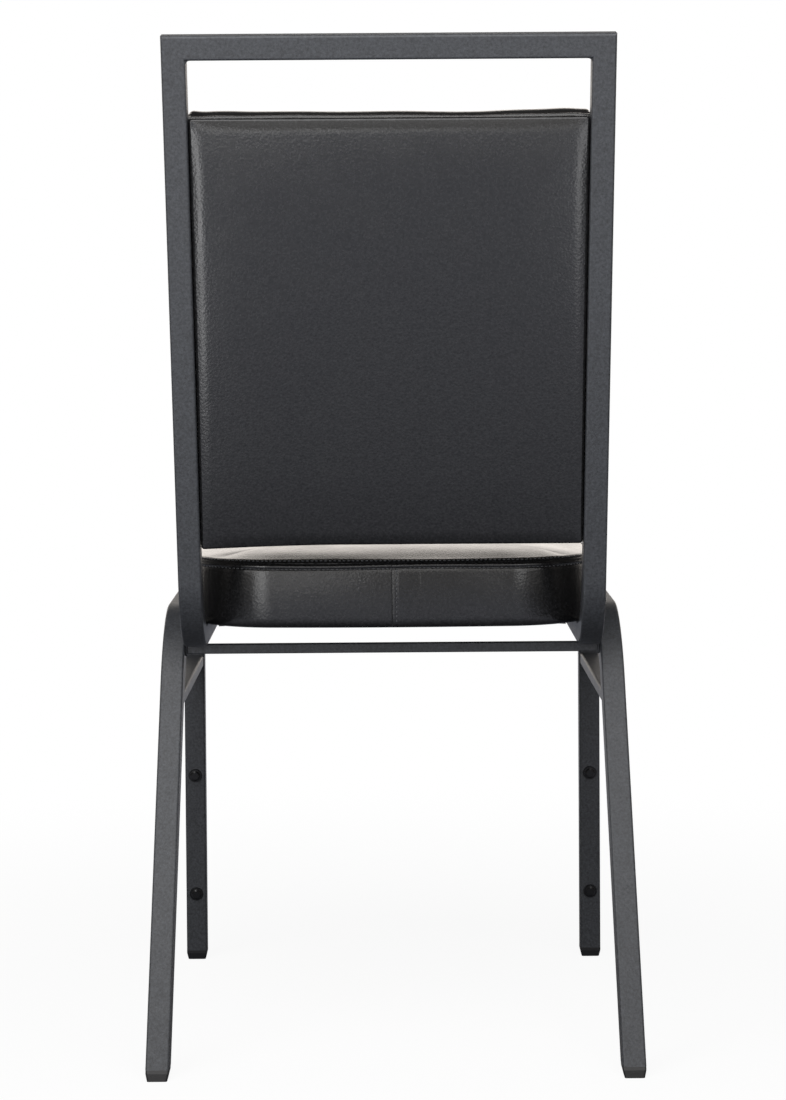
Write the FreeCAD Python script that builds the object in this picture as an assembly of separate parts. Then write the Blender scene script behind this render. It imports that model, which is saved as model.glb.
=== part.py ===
import FreeCAD, Part
import math
import os

from FreeCAD import Placement, Rotation, Vector

os.makedirs("parts", exist_ok=True)

# Banquet chair: bent square-tube frame with an upholstered seat and back.
# Millimetres, +Z up, the sitter faces -Y, the sitter's left is +X.
# While the pieces are made, y = 0 is the rear edge of the rear feet on the floor.
# At the end everything moves so that the origin is under the middle of the chair.

# Overall
overall_height = 967.0        # floor to the highest edge of the top rail

# Frame tube
tube = 22.2                   # outside of the square tube
tube_wall = 1.2
tube_corner = 2.4             # outer corner radius of the tube

# Leg frames
run_top = 421.0               # top of the level run beside the seat
run_gap = 407.2               # between the inner faces of the two level runs
foot_base = 490.0             # rear face of the rear foot to rear face of the front foot
rear_rake = 23.9              # degrees that the rear leg leans back
front_rake = 3.0              # degrees that the front leg leans forward
rear_splay = 8.5              # how far the rear foot stands outside the level run
front_splay = 3.0             # how far the front foot stands outside the level run
rear_bend = 100.0             # bend radii on the middle of the tube
front_bend = 60.0

# Back frames
rail_step = 10.8              # top of the seat rail below the top of the level run
back_rake = 10.74             # degrees that the uprights lean back
back_setback = 105.5          # rear face of the upright at rail height, ahead of the rear foot
back_splay = 2.7              # how far the upright leans outwards at its top
rail_bend = 70.0
rail_front_inset = 12.0       # end of the seat rail behind the corner of the front leg
weld_fillet = 4.0             # weld in the inner corners of the top rail

# Bars
stretcher_top = 341.0
stretcher_height = 12.7
stretcher_width = 20.0
cross_bar = 9.5               # square bar under the seat rails
front_bar_inset = 20.0        # front cross bar behind the ends of the seat rails
rail_cap = 3.0                # thickness of the caps on the rail ends
plug_depth = 16.0             # how far caps and glides reach into the tube
plug_clear = 0.1              # gap all round a plug
plug_corner = 1.2             # corner radius of a plug

# Glides and bumpers
glide_height = 10.0
glide_taper = 1.6             # the glide's foot is this much smaller on each side
glide_taper_height = 7.0
bumper_heights = (208.0, 75.0)
bumper_flange = 15.0          # diameter of the bumper's flat rim
bumper_rim = 1.4              # thickness of that rim
bumper_button = 11.0          # diameter of its raised button
bumper_rise = 4.2             # height of the button over the tube
bumper_edge = 1.7             # round of the button's edge
bumper_stem = 6.0             # diameter of the stem in the tube wall
bumper_barb = 2.0             # stem past the inside of the tube wall
stem_clear = 0.2              # hole wider than the stem
stretcher_bumper = 8.0        # diameter of the small bumper under the stretcher
stretcher_bumper_rise = 3.0
stretcher_bumper_edge = 1.6
stretcher_bumper_stem = 4.0
stretcher_bumper_inset = 130.0  # ahead of the middle of the rear leg

# Seat
seat_side_gap = 2.0           # between the seat and the level runs
seat_depth = 405.0
seat_band = 62.5              # height of the side band, from the rails to the top seam
seat_crown = 13.0             # rise of the top over the seam
seat_crown_reach = 84.0       # from the seam to the flat middle of the top
seat_front_fall = 40.0        # the flat middle stays this much further from the front
seat_rear_corner = 88.0
seat_front_corner = 60.0
seat_rail_clear = 18.0        # seat edge behind the end of the rail bend, where it meets the rail
seat_side_sag = 2.5           # the sides draw in by this much between the corners
edge_roll = 6.0               # roll of the lower edge
seam_dip = 1.5                # the covers draw in at a seam
cover = 1.2                   # vinyl with its backing
cover_flange = 26.0           # width of vinyl folded under a board
fold_corner = 30.0            # corner radius of the folded edge
foam_gap = 0.2                # between foam and cover
board = 12.0                  # plywood of seat and back
board_inset = 8.0             # board edge inside the outline of its cushion
seat_tab_rear = 60.0          # tabs ahead of the end of the rail bend
seat_tab_front = 50.0         # tabs behind the ends of the seat rails

# Back
handhold = 53.5               # clear height between the cushion and the top rail
back_over_seat = 18.0         # bottom of the back over the top seam of the seat
back_side_gap = 0.2           # front cushion to the uprights
panel_side_gap = 1.5          # rear panel to the uprights
back_corner = 4.0
back_side_sag = 0.1
back_foam = 26.0              # foam over the back board, up to the edge of the crown
back_crown = 12.0
back_crown_reach = 75.0
back_roll = 3.6               # roll of the cushion's rear edge
panel_board = 4.0
panel_pad = 6.0               # foam and vinyl over the rear panel's board at its edge
panel_crown = 1.8             # how far the panel stands proud of the uprights
panel_crown_reach = 54.0
panel_tab_gap = 0.3           # between the folded vinyl of the panel and the screw heads
clip_post = 8.0
clip_base = 14.0
clip_base_height = 2.0
clip_rows = (0.15, 0.5, 0.85)  # share of the panel's height
clip_side = 120.0             # clips from the middle of the chair
clip_bite = 8.4               # how far a clip reaches into the back board

# Tabs and fasteners
tab = 3.0                     # thickness of the welded tabs
tab_reach = 32.0
tab_width = 30.0
tab_corner = 7.5
tab_hole = 17.6               # screw hole from the tube that carries the tab
back_tab_inset = 60.0         # tabs from the lower and upper edge of the back
screw = 6.0
screw_hole = 6.6
screw_head = 12.0
screw_head_height = 2.8
screw_head_edge = 1.0         # height of the head's straight edge
screw_head_top = 8.6          # diameter of its flat top
tnut_barrel = 8.0
tnut_depth = 9.0
tnut_flange = 17.0
tnut_flange_height = 1.4

# Worked out from the above
half = tube / 2
inner_half = half - tube_wall
plug_size = inner_half - plug_clear
run_z = run_top - half
run_x = run_gap / 2 + half
rail_top = run_top - rail_step
rail_z = rail_top - half
rail_x = run_gap / 2 - half
rail_inner = rail_x - half
rake = math.radians(back_rake)
up_back = Vector(0, math.sin(rake), math.cos(rake))
out_front = Vector(0, -math.cos(rake), math.sin(rake))

nodes = {}


def rounded_square(size, corner):
    """Closed wire of a square with round corners, in the XY plane."""
    corners = [Vector(size, -size), Vector(size, size), Vector(-size, size), Vector(-size, -size)]
    return outline(corners, [corner] * 4)


def outline(corners, radii, sag=0.0):
    """Closed wire through corners, anticlockwise in XY, each with its radius; its sides draw in by sag."""
    count = len(corners)
    starts = []
    ends = []
    arcs = []
    for i in range(count):
        to_last = (corners[i - 1] - corners[i]).normalize()
        to_next = (corners[(i + 1) % count] - corners[i]).normalize()
        half_angle = to_last.getAngle(to_next) / 2
        middle = (to_last + to_next).normalize()
        reach = radii[i] / math.tan(half_angle)
        starts.append(corners[i] + to_last * reach)
        ends.append(corners[i] + to_next * reach)
        on_arc = corners[i] + middle * (radii[i] / math.sin(half_angle) - radii[i])
        arcs.append([Part.Arc(starts[i], on_arc, ends[i]).toShape()] if radii[i] else [])
    edges = []
    for i in range(count):
        start = ends[i]
        end = starts[(i + 1) % count]
        edges.extend(arcs[i])
        if sag:
            inward = Vector(0, 0, 1).cross(end - start).normalize()
            edges.append(Part.Arc(start, (start + end) * 0.5 + inward * sag, end).toShape())
        else:
            edges.append(Part.LineSegment(start, end).toShape())
    return Part.Wire(edges)


def section(at, along, across, size, corner, hole=0.0):
    """Face of a square section at a point, with an optional square hole for a tube."""
    wires = [rounded_square(size, corner)]
    if hole:
        wires.append(rounded_square(hole, 0))
    face = Part.Face(wires, "Part::FaceMakerBullseye")
    face.Placement = Placement(at, Rotation(across, Vector(), along, "ZXY"))
    return face


def bend_along(points, radius, across, size, corner, hole=0.0):
    """Carry a square section along straight, bend, straight, as a tube bender does."""
    start, turn_point, end = points
    along = (turn_point - start).normalize()
    onward = (end - turn_point).normalize()
    turn = along.getAngle(onward)
    reach = radius * math.tan(turn / 2)
    axis = along.cross(onward).normalize()
    first = section(start, along, across, size, corner, hole)
    straight = along * ((turn_point - start).Length - reach)
    centre = start + straight + axis.cross(along) * radius
    second = first.translated(straight)
    third = second.rotated(centre, axis, math.degrees(turn))
    rest = onward * ((end - turn_point).Length - reach)
    pieces = [second.revolve(centre, axis, math.degrees(turn)), third.extrude(rest)]
    return first.extrude(straight).multiFuse(pieces).removeSplitter()


def slab(z_low, z_high):
    """A block wider than the chair between two heights."""
    reach = 2 * overall_height
    return Part.makeBox(2 * reach, 2 * reach, z_high - z_low, Vector(-reach, -reach, z_low))


def mirrored(shape):
    """The same piece on the other side of the chair."""
    return shape.mirror(Vector(), Vector(1, 0, 0))


def both_sides(shape):
    """One piece on each side, as two separate solids."""
    return Part.makeCompound([shape, mirrored(shape)])


def turned(profile, at, axis):
    """Turn a half profile of (radius, height) points about an axis through a point."""
    wire = Part.makePolygon([Vector(r, 0, h) for r, h in profile + profile[:1]])
    solid = Part.Face(wire).revolve(Vector(), Vector(0, 0, 1), 360)
    solid.Placement = Placement(at, Rotation(Vector(0, 0, 1), axis))
    return solid


def rod(at, axis, diameter, length):
    """Round rod from a point along an axis."""
    return Part.makeCylinder(diameter / 2, length, at, axis)


def loft(outlines):
    """Closed solid in straight steps through outlines of the same kind."""
    return Part.makeLoft(outlines, True, True)


# Leg frames: from the middle of the level run back and down, and forward and down
rear_tan = math.tan(math.radians(rear_rake))
front_tan = math.tan(math.radians(front_rake))
rear_foot = Vector(run_x + rear_splay, -half / math.cos(math.radians(rear_rake)), 0)
rear_corner = Vector(run_x, rear_foot.y - rear_tan * run_z, run_z)
front_foot = Vector(run_x + front_splay, -foot_base - half / math.cos(math.radians(front_rake)), 0)
front_corner = Vector(run_x, front_foot.y + front_tan * run_z, run_z)
run_middle = (rear_corner + front_corner) * 0.5
across = Vector(1, 0, 0)


def past_foot(corner, foot):
    """A point on the leg's line one tube below the floor."""
    return foot + (foot - corner) * (tube / run_z)


rear_path = [run_middle, rear_corner, past_foot(rear_corner, rear_foot)]
front_path = [run_middle, front_corner, past_foot(front_corner, front_foot)]


def leg_pair(size, corner, hole=0.0):
    """Rear and front half of one leg frame."""
    rear = bend_along(rear_path, rear_bend, across, size, corner, hole)
    front = bend_along(front_path, front_bend, across, size, corner, hole)
    return rear, front


rear_solid, front_solid = leg_pair(half, tube_corner)
leg_solid = rear_solid.fuse(front_solid)
rear_half, front_half = leg_pair(half, tube_corner, inner_half)
leg_frame = rear_half.fuse(front_half).removeSplitter().cut(slab(-tube * 2, glide_height))

# Bumpers on the rear faces of the front legs, and the holes for their stems
front_down = (front_foot - front_corner).normalize()
front_back = across.cross(front_down).normalize()
stem_end = -tube_wall - bumper_barb
bumper_profile = [
    (0, stem_end), (bumper_stem / 2, stem_end), (bumper_stem / 2, 0), (bumper_flange / 2, 0),
    (bumper_flange / 2 - bumper_rim / 2, bumper_rim), (bumper_button / 2, bumper_rim),
    (bumper_button / 2, bumper_rise - bumper_edge), (bumper_button / 2 - bumper_edge, bumper_rise),
    (0, bumper_rise),
]
bumpers = []
for height in bumper_heights:
    on_leg = front_foot - front_down * (height / -front_down.z) + front_back * half
    bumpers.append(turned(bumper_profile, on_leg, front_back))
    leg_frame = leg_frame.cut(rod(on_leg + front_back, front_back * -1, bumper_stem + stem_clear, half))
nodes["left_leg_frame"] = leg_frame
nodes["right_leg_frame"] = mirrored(leg_frame)
for name, bumper in zip(("upper_stack_bumpers", "lower_stack_bumpers"), bumpers):
    nodes[name] = both_sides(bumper)


# Glides: a foot that carries on the leg's shape, tapered below, and a plug in the tube
def glide(corner, foot):
    """Glide of one leg; its underside lies flat on the floor."""
    along = (corner - foot).normalize()
    wide = half / along.z
    outlines = []
    for height, inset in ((0, glide_taper), (glide_taper_height, 0), (glide_height, 0)):
        x = half - inset
        y = wide - inset
        level = outline([Vector(x, -y), Vector(x, y), Vector(-x, y), Vector(-x, -y)], [tube_corner] * 4)
        level.translate(foot + along * (height / along.z))
        outlines.append(level)
    plug = section(foot, along, across, plug_size, plug_corner).extrude(along * (tube + plug_depth) * 2)
    plug = plug.common(slab(glide_taper_height, glide_height + plug_depth))
    return loft(outlines).fuse(plug).removeSplitter()


rear_glide = glide(rear_corner, rear_foot)
front_glide = glide(front_corner, front_foot)
nodes["rear_left_glide"] = rear_glide
nodes["rear_right_glide"] = mirrored(rear_glide)
nodes["front_left_glide"] = front_glide
nodes["front_right_glide"] = mirrored(front_glide)

# Back frames: the seat rail from the front, bent up into the raked upright
back_line = back_setback + half / math.cos(rake)
rail_corner = Vector(rail_x, -back_line, rail_z)
rail_front = Vector(rail_x, front_corner.y + rail_front_inset, rail_z)
# The round front edge of the tilted top rail is the highest line of the chair
edge_rise = (half - tube_corner) * (math.sin(rake) + math.cos(rake)) + tube_corner
top_height = overall_height - edge_rise
upright = (top_height - rail_z) / math.cos(rake)
top_point = rail_corner + up_back * upright + Vector(back_splay, 0, 0)
upright_line = (top_point - rail_corner).normalize()
rail_path = [rail_front, rail_corner, top_point + upright_line * tube]
back_frame = bend_along(rail_path, rail_bend, across, half, tube_corner, inner_half)
rail_turn = Vector(0, 1, 0).getAngle(upright_line)
rail_bend_end = rail_corner.y - rail_bend * math.tan(rail_turn / 2)


def back_prism(points, low, high):
    """Prism of (sideways, upwards) points round the top corner, between two depths of the back."""
    wire = Part.makePolygon([Vector(x, y, low) for x, y in points + points[:1]])
    solid = Part.Face(wire).extrude(Vector(0, 0, high - low))
    solid.Placement = Placement(top_point, Rotation(across, up_back, out_front, "ZXY"))
    return solid


# The top rail and the uprights meet in a mitre
side = 2 * tube
upright_side = back_prism([(-side, -side), (side, side), (-side, side)], -tube, tube)
rail_side = back_prism([(-side, -side), (side, -side), (side, side)], -tube, tube)
back_frame = back_frame.cut(upright_side)
nodes["left_back_frame"] = back_frame
nodes["right_back_frame"] = mirrored(back_frame)

rail_start = Vector(-top_point.x - tube, top_point.y, top_point.z)
top_section = section(rail_start, across, up_back, half, tube_corner, inner_half)
top_rail = top_section.extrude(Vector(-2 * rail_start.x, 0, 0))
nodes["top_rail"] = top_rail.cut(rail_side).cut(mirrored(rail_side))
# Weld that rounds the inner corner, from the rail's underside to the upright
inner = -half
on_weld = inner - weld_fillet * (1 - math.sqrt(0.5))
bead_arc = Part.Arc(
    Vector(inner - weld_fillet, inner, 0),
    Vector(on_weld, on_weld, 0),
    Vector(inner, inner - weld_fillet, 0),
).toShape()
bead_sides = [
    Part.LineSegment(Vector(inner, inner - weld_fillet, 0), Vector(inner, inner, 0)).toShape(),
    Part.LineSegment(Vector(inner, inner, 0), Vector(inner - weld_fillet, inner, 0)).toShape(),
]
bead_depth = tube - 2 * tube_corner
bead = Part.Face(Part.Wire([bead_arc] + bead_sides)).extrude(Vector(0, 0, bead_depth))
bead.translate(Vector(0, 0, -bead_depth / 2))
bead.Placement = Placement(top_point, Rotation(across, up_back, out_front, "ZXY")).multiply(bead.Placement)
bead = bead.cut(bend_along(rail_path, rail_bend, across, half, tube_corner))
nodes["top_rail_welds"] = both_sides(bead)


# Side stretchers, coped to the legs
def on_leg_line(corner, foot, height):
    """Middle of a leg at a height below its bend."""
    return foot + (corner - foot) * (height / corner.z)


stretcher_z = stretcher_top - stretcher_height / 2
stretcher_rear = on_leg_line(rear_corner, rear_foot, stretcher_z)
stretcher_front = on_leg_line(front_corner, front_foot, stretcher_z)


def flat_tube(start, end, width, height):
    """Rectangular tube between two points."""
    along = end - start
    shapes = []
    for inset, corner in ((0, tube_corner), (tube_wall, 0)):
        x = width / 2 - inset
        y = height / 2 - inset
        corners = [Vector(x, -y), Vector(x, y), Vector(-x, y), Vector(-x, -y)]
        shapes.append(outline(corners, [corner] * 4))
    face = Part.Face(shapes, "Part::FaceMakerBullseye")
    face.Placement = Placement(start, Rotation(across, Vector(), along, "ZXY"))
    return face.extrude(along)


stretcher = flat_tube(stretcher_front, stretcher_rear, stretcher_width, stretcher_height).cut(leg_solid)
bumper_at = stretcher_rear + (stretcher_front - stretcher_rear).normalize() * stretcher_bumper_inset
bumper_at.z = stretcher_top - stretcher_height
small_bumper = [
    (0, stem_end), (stretcher_bumper_stem / 2, stem_end), (stretcher_bumper_stem / 2, 0),
    (stretcher_bumper / 2, 0), (stretcher_bumper / 2, stretcher_bumper_rise - stretcher_bumper_edge),
    (stretcher_bumper / 2 - stretcher_bumper_edge, stretcher_bumper_rise), (0, stretcher_bumper_rise),
]
down = Vector(0, 0, -1)
stem_top = bumper_at - down * (stretcher_height / 2)
stretcher = stretcher.cut(rod(stem_top, down, stretcher_bumper_stem + stem_clear, stretcher_height))
nodes["left_side_stretcher"] = stretcher
nodes["right_side_stretcher"] = mirrored(stretcher)
nodes["stretcher_bumpers"] = both_sides(turned(small_bumper, bumper_at, down))

# Rear cross bar: under the seat rails, between the bends of the rear legs
cross_z = rail_top - tube - cross_bar / 2
rear_turn = Vector(0, 1, 0).getAngle(rear_foot - rear_corner)
bend_reach = rear_bend * math.tan(rear_turn / 2)
bend_centre = Vector(run_x, rear_corner.y - bend_reach, run_z - rear_bend)
if cross_z - bend_centre.z > rear_bend * math.sin(math.radians(rear_rake)):
    cross_y = bend_centre.y + math.sqrt(rear_bend ** 2 - (cross_z - bend_centre.z) ** 2)
else:
    cross_y = on_leg_line(rear_corner, rear_foot, cross_z).y
cross_start = Vector(-run_x, cross_y, cross_z)
cross_face = section(cross_start, across, Vector(0, 0, 1), cross_bar / 2, tube_wall)
cross = cross_face.extrude(Vector(2 * run_x, 0, 0))
nodes["rear_cross_bar"] = cross.cut(leg_solid).cut(mirrored(leg_solid))

# Front cross bar between the seat rails, and the caps on the rail ends
front_bar_at = Vector(-rail_inner, rail_front.y + front_bar_inset + half, rail_z)
front_bar = section(front_bar_at, across, Vector(0, 0, 1), half, tube_corner, inner_half)
nodes["front_cross_bar"] = front_bar.extrude(Vector(2 * rail_inner, 0, 0))
cap_face = section(rail_front, Vector(0, -1, 0), across, half, tube_corner)
cap = cap_face.extrude(Vector(0, -rail_cap, 0))
front_edges = [e for e in cap.Edges if e.BoundBox.YMax < rail_front.y - rail_cap + 0.01]
cap = cap.makeChamfer(rail_cap / 2, front_edges)
plug_face = section(rail_front, Vector(0, 1, 0), across, plug_size, plug_corner)
cap = cap.fuse(plug_face.extrude(Vector(0, plug_depth, 0)))
nodes["left_rail_cap"] = cap
nodes["right_rail_cap"] = mirrored(cap)

# Seat: the outline passes the rail bend with room to spare
seat_half = run_gap / 2 - seat_side_gap
corner_x = seat_half - seat_rear_corner
at_rail = seat_rear_corner - math.sqrt(seat_rear_corner ** 2 - (rail_inner - corner_x) ** 2)
seat_rear = rail_bend_end + seat_rail_clear + at_rail
seat_front = seat_rear - seat_depth
seat_seam = rail_top + seat_band
seat_board_top = rail_top + cover + board


def rolled_sides(roll, low, high):
    """Levels of (inset, height) up a side: a quarter round below, then drawn in to the seam above."""
    levels = []
    for step in range(4):
        turn = math.pi / 2 * step / 3
        levels.append((roll * (1 - math.sin(turn)), low + roll * (1 - math.cos(turn))))
    side = high - low - roll
    for step in range(1, 5):
        share = step / 4
        levels.append((seam_dip * share ** 3, low + roll + share * side))
    return levels


def crown_levels(reach, rise):
    """Levels of (inset, height) over a crown: steepest at the seam, level in the middle."""
    count = 6
    levels = []
    for step in range(count + 1):
        share = step / count
        levels.append((seam_dip + share * reach, rise * (1 - (1 - share) ** 3)))
    return levels


def seat_outline(inset, height, fall=0.0):
    """Seat outline drawn in by an inset, and further in at the front by a fall."""
    x = seat_half - inset
    low = seat_front + inset + fall
    high = seat_rear - inset
    corners = [Vector(x, low), Vector(x, high), Vector(-x, high), Vector(-x, low)]
    front_radius = max(seat_front_corner - inset, fold_corner)
    rear_radius = max(seat_rear_corner - inset, fold_corner)
    wire = outline(corners, [front_radius, rear_radius, rear_radius, front_radius], seat_side_sag)
    wire.translate(Vector(0, 0, height))
    return wire


def seat_sides(skin):
    """Side band's form, from the rails to the top seam, drawn in by a skin."""
    low = rail_top + skin
    levels = rolled_sides(edge_roll, low, seat_seam)
    return loft([seat_outline(inset + skin, height) for inset, height in levels])


def seat_top(skin):
    """Crowned top over the seam; it falls away further at the front."""
    wires = []
    for inset, rise in crown_levels(seat_crown_reach, seat_crown - skin):
        fall = seat_front_fall * (inset - seam_dip) / seat_crown_reach
        wires.append(seat_outline(inset + skin, seat_seam + rise, fall))
    return loft(wires)


def plate(wire, thickness):
    """Flat plate on an outline, upwards from it."""
    return Part.Face(wire).extrude(Vector(0, 0, thickness))


def tab_blank(welded, height):
    """Tab from its welded edge, given by two points, inwards to two round corners."""
    (x_low, low), (x_high, high) = welded
    tip = min(x_low, x_high) - tab_reach
    corners = [Vector(x_low, low), Vector(x_high, high), Vector(tip, high), Vector(tip, low)]
    wire = outline(corners, [0, 0, tab_corner, tab_corner])
    wire.translate(Vector(0, 0, height))
    return plate(wire, tab)


flange_inset = edge_roll + cover_flange
window = plate(seat_outline(flange_inset, rail_top), cover)
nodes["seat_side_band"] = seat_sides(0).cut(seat_sides(cover)).cut(window)
nodes["seat_top_cover"] = seat_top(0).cut(seat_top(cover))
seat_board = plate(seat_outline(board_inset, rail_top + cover), board)
dust_cover = plate(seat_outline(flange_inset + foam_gap, rail_top), cover)
foam_skin = cover + foam_gap
seat_foam = seat_sides(foam_skin).common(slab(seat_board_top, seat_seam)).fuse(seat_top(foam_skin))

# Tabs welded inside the seat rails, with screws up into T-nuts in the board
seat_tabs = []
seat_screws = []
seat_tnuts = []
up = Vector(0, 0, 1)


# T-nut: a barrel down into the board under a flange on its face
tnut_profile = [
    (screw / 2, -tnut_depth), (tnut_barrel / 2, -tnut_depth), (tnut_barrel / 2, 0), (tnut_flange / 2, 0),
    (tnut_flange / 2, tnut_flange_height), (screw / 2, tnut_flange_height),
]
# Pan-head screw: head under the tab, shank through tab and board
grip = tab + cover + board
screw_profile = [
    (0, -screw_head_height), (screw_head_top / 2, -screw_head_height), (screw_head / 2, -screw_head_edge),
    (screw_head / 2, 0), (screw / 2, 0), (screw / 2, grip), (0, grip),
]
tab_hole_x = rail_inner - tab_hole
for tab_y in (rail_bend_end - seat_tab_rear, rail_front.y + seat_tab_front):
    hole_at = Vector(tab_hole_x, tab_y, rail_top)
    low = tab_y - tab_width / 2
    high = tab_y + tab_width / 2
    blank = tab_blank([(rail_inner, low), (rail_inner, high)], rail_top - tab)
    seat_tabs.append(blank.cut(rod(hole_at, down, screw_hole, tab)))
    seat_screws.append(turned(screw_profile, hole_at - up * tab, up))
    on_board = hole_at + up * (cover + board)
    seat_tnuts.append(turned(tnut_profile, on_board, up))
    for sign in (1, -1):
        spot = Vector(sign * hole_at.x, hole_at.y, hole_at.z)
        dust_cover = dust_cover.cut(rod(spot, up, screw_hole, cover))
        seat_board = seat_board.cut(rod(spot, up, tnut_barrel, cover + board))
        seat_foam = seat_foam.cut(rod(spot + up * (cover + board), up, tnut_flange, tnut_flange_height))
nodes["seat_board"] = seat_board
nodes["seat_foam"] = seat_foam
nodes["seat_dust_cover"] = dust_cover
for name, pieces in (("seat_tabs", seat_tabs), ("seat_screws", seat_screws), ("seat_tnuts", seat_tnuts)):
    nodes[name] = Part.makeCompound([both_sides(piece) for piece in pieces])

# Back: made lying on the rear faces of the uprights, x sideways, y up along them, z forwards
back_origin = Vector(0, -back_setback, rail_z)
back_place = Placement(back_origin, Rotation(across, up_back, out_front, "ZXY"))
back_low = (seat_seam + back_over_seat - rail_z) / math.cos(rake)
back_high = upright - half - handhold


def upright_inner(height):
    """Inner face of the upright at a height along it."""
    return rail_inner + back_splay * height / upright


def back_outline(gap, inset, depth, sag=0.0):
    """Outline between the uprights, a gap clear of them and drawn in by an inset."""
    low = back_low + inset
    high = back_high - inset
    x_low = upright_inner(back_low) - gap - inset
    x_high = upright_inner(back_high) - gap - inset
    corners = [Vector(x_low, low), Vector(x_high, high), Vector(-x_high, high), Vector(-x_low, low)]
    wire = outline(corners, [back_corner] * 4, sag)
    wire.translate(Vector(0, 0, depth))
    return wire


# Depths forwards from the rear faces of the uprights
panel_fold = panel_pad + panel_board
head_back = panel_fold + cover + panel_tab_gap
tab_back = head_back + screw_head_height
fold_back = tab_back + tab
board_back = fold_back + cover
board_front = board_back + board
back_edge = board_front + back_foam


def back_sides(skin):
    """Sides of the front cushion, from the fold behind the board to the edge of the crown."""
    levels = rolled_sides(back_roll, fold_back + skin, back_edge)
    return loft([back_outline(back_side_gap, inset + skin, depth, back_side_sag) for inset, depth in levels])


def back_face(skin):
    """Crowned front of the cushion."""
    wires = []
    for inset, rise in crown_levels(back_crown_reach, back_crown - skin):
        wires.append(back_outline(back_side_gap, inset + skin, back_edge + rise, back_side_sag))
    return loft(wires)


def panel_form(skin):
    """Rear panel: a low crown towards the rear, then an edge rolled by a quarter round."""
    middle = panel_pad + panel_crown_reach
    levels = [(middle, skin - panel_crown), ((panel_pad + middle) / 2, skin - panel_crown * 0.75)]
    roll = panel_pad - skin
    steps = 4
    for step in range(steps + 1):
        turn = math.pi / 2 * step / steps
        levels.append((panel_pad - roll * math.sin(turn), panel_pad - roll * math.cos(turn)))
    levels.append((seam_dip + skin, panel_fold + cover - skin))
    return loft([back_outline(panel_side_gap, inset, depth, back_side_sag) for inset, depth in levels])


def cut_back(depth_low, depth_high, gap, inset):
    """Flat plate on the back's outline between two depths."""
    return plate(back_outline(gap, inset, depth_low), depth_high - depth_low)


back_cover = back_sides(0).cut(back_sides(cover)).fuse(back_face(0).cut(back_face(cover)))
back_cover = back_cover.cut(cut_back(fold_back, board_back, back_side_gap, flange_inset))
back_board = cut_back(board_back, board_front, back_side_gap, board_inset)
back_pad = back_sides(foam_skin).common(slab(board_front, back_edge)).fuse(back_face(foam_skin))
panel_shell = panel_form(0).cut(panel_form(cover))
panel_shell = panel_shell.cut(cut_back(panel_fold, panel_fold + cover, panel_side_gap, flange_inset))
panel_plate = cut_back(panel_pad, panel_fold, panel_side_gap, board_inset)
panel_foam = panel_form(foam_skin).common(slab(-panel_pad, panel_pad))

# Tabs welded inside the uprights, with screws forwards into T-nuts in the board
back_tabs = []
back_screws = []
back_tnuts = []
forward = Vector(0, 0, 1)
for height in (back_low + back_tab_inset, back_high - back_tab_inset):
    inner_x = upright_inner(height)
    hole_at = Vector(inner_x - tab_hole, height, fold_back)
    low = height - tab_width / 2
    high = height + tab_width / 2
    blank = tab_blank([(upright_inner(low), low), (upright_inner(high), high)], tab_back)
    back_tabs.append(blank.cut(rod(hole_at, forward * -1, screw_hole, tab)))
    back_screws.append(turned(screw_profile, hole_at - forward * tab, forward))
    on_board = hole_at + forward * (cover + board)
    back_tnuts.append(turned(tnut_profile, on_board, forward))
    for sign in (1, -1):
        spot = Vector(sign * hole_at.x, height, fold_back)
        back_cover = back_cover.cut(rod(spot, forward, screw_hole, cover))
        back_board = back_board.cut(rod(spot, forward, tnut_barrel, cover + board))
        on_front = spot + forward * (cover + board)
        back_pad = back_pad.cut(rod(on_front, forward, tnut_flange, tnut_flange_height))

# Push-in clips from the rear panel's board into the back board
clips = []
clip_reach = board_back - panel_fold + clip_bite
clip_profile = [
    (0, 0), (clip_base / 2, 0), (clip_base / 2, clip_base_height), (clip_post / 2, clip_base_height),
    (clip_post / 2, clip_reach - clip_post / 4), (clip_post / 4, clip_reach), (0, clip_reach),
]
for share in clip_rows:
    height = back_low + share * (back_high - back_low)
    clips.append(turned(clip_profile, Vector(clip_side, height, panel_fold), forward))
    for sign in (1, -1):
        spot = Vector(sign * clip_side, height, board_back)
        back_board = back_board.cut(rod(spot, forward, clip_post, board))

back_nodes = {
    "back_front_cover": back_cover,
    "back_board": back_board,
    "back_foam": back_pad,
    "rear_panel_cover": panel_shell,
    "rear_panel_board": panel_plate,
    "rear_panel_foam": panel_foam,
    "back_tabs": Part.makeCompound([both_sides(piece) for piece in back_tabs]),
    "back_screws": Part.makeCompound([both_sides(piece) for piece in back_screws]),
    "back_tnuts": Part.makeCompound([both_sides(piece) for piece in back_tnuts]),
    "rear_panel_clips": Part.makeCompound([both_sides(piece) for piece in clips]),
}
for name, shape in back_nodes.items():
    shape.Placement = back_place.multiply(shape.Placement)
    nodes[name] = shape

# Origin under the middle of the chair, on the floor
box = Part.makeCompound(list(nodes.values())).optimalBoundingBox(False, False)
to_middle = Vector(-box.Center.x, -box.Center.y, -box.ZMin)
for name, shape in nodes.items():
    placed = shape.translated(to_middle)
    placed.exportStep(f"parts/{name}.step")
    print(f"{name}: {len(placed.Solids)} solids, {placed.Volume / 1000:.1f} cm3, valid {placed.isValid()}")
print(f"overall {box.XLength:.1f} x {box.YLength:.1f} x {box.ZLength:.1f} mm")
print(f"the rear edge of the rear feet is at y = {to_middle.y:.2f}")
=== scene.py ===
import math

import bmesh
import bpy
import numpy as np
from bpy.props import FloatProperty, FloatVectorProperty, PointerProperty
from mathutils import Matrix, Vector


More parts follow.
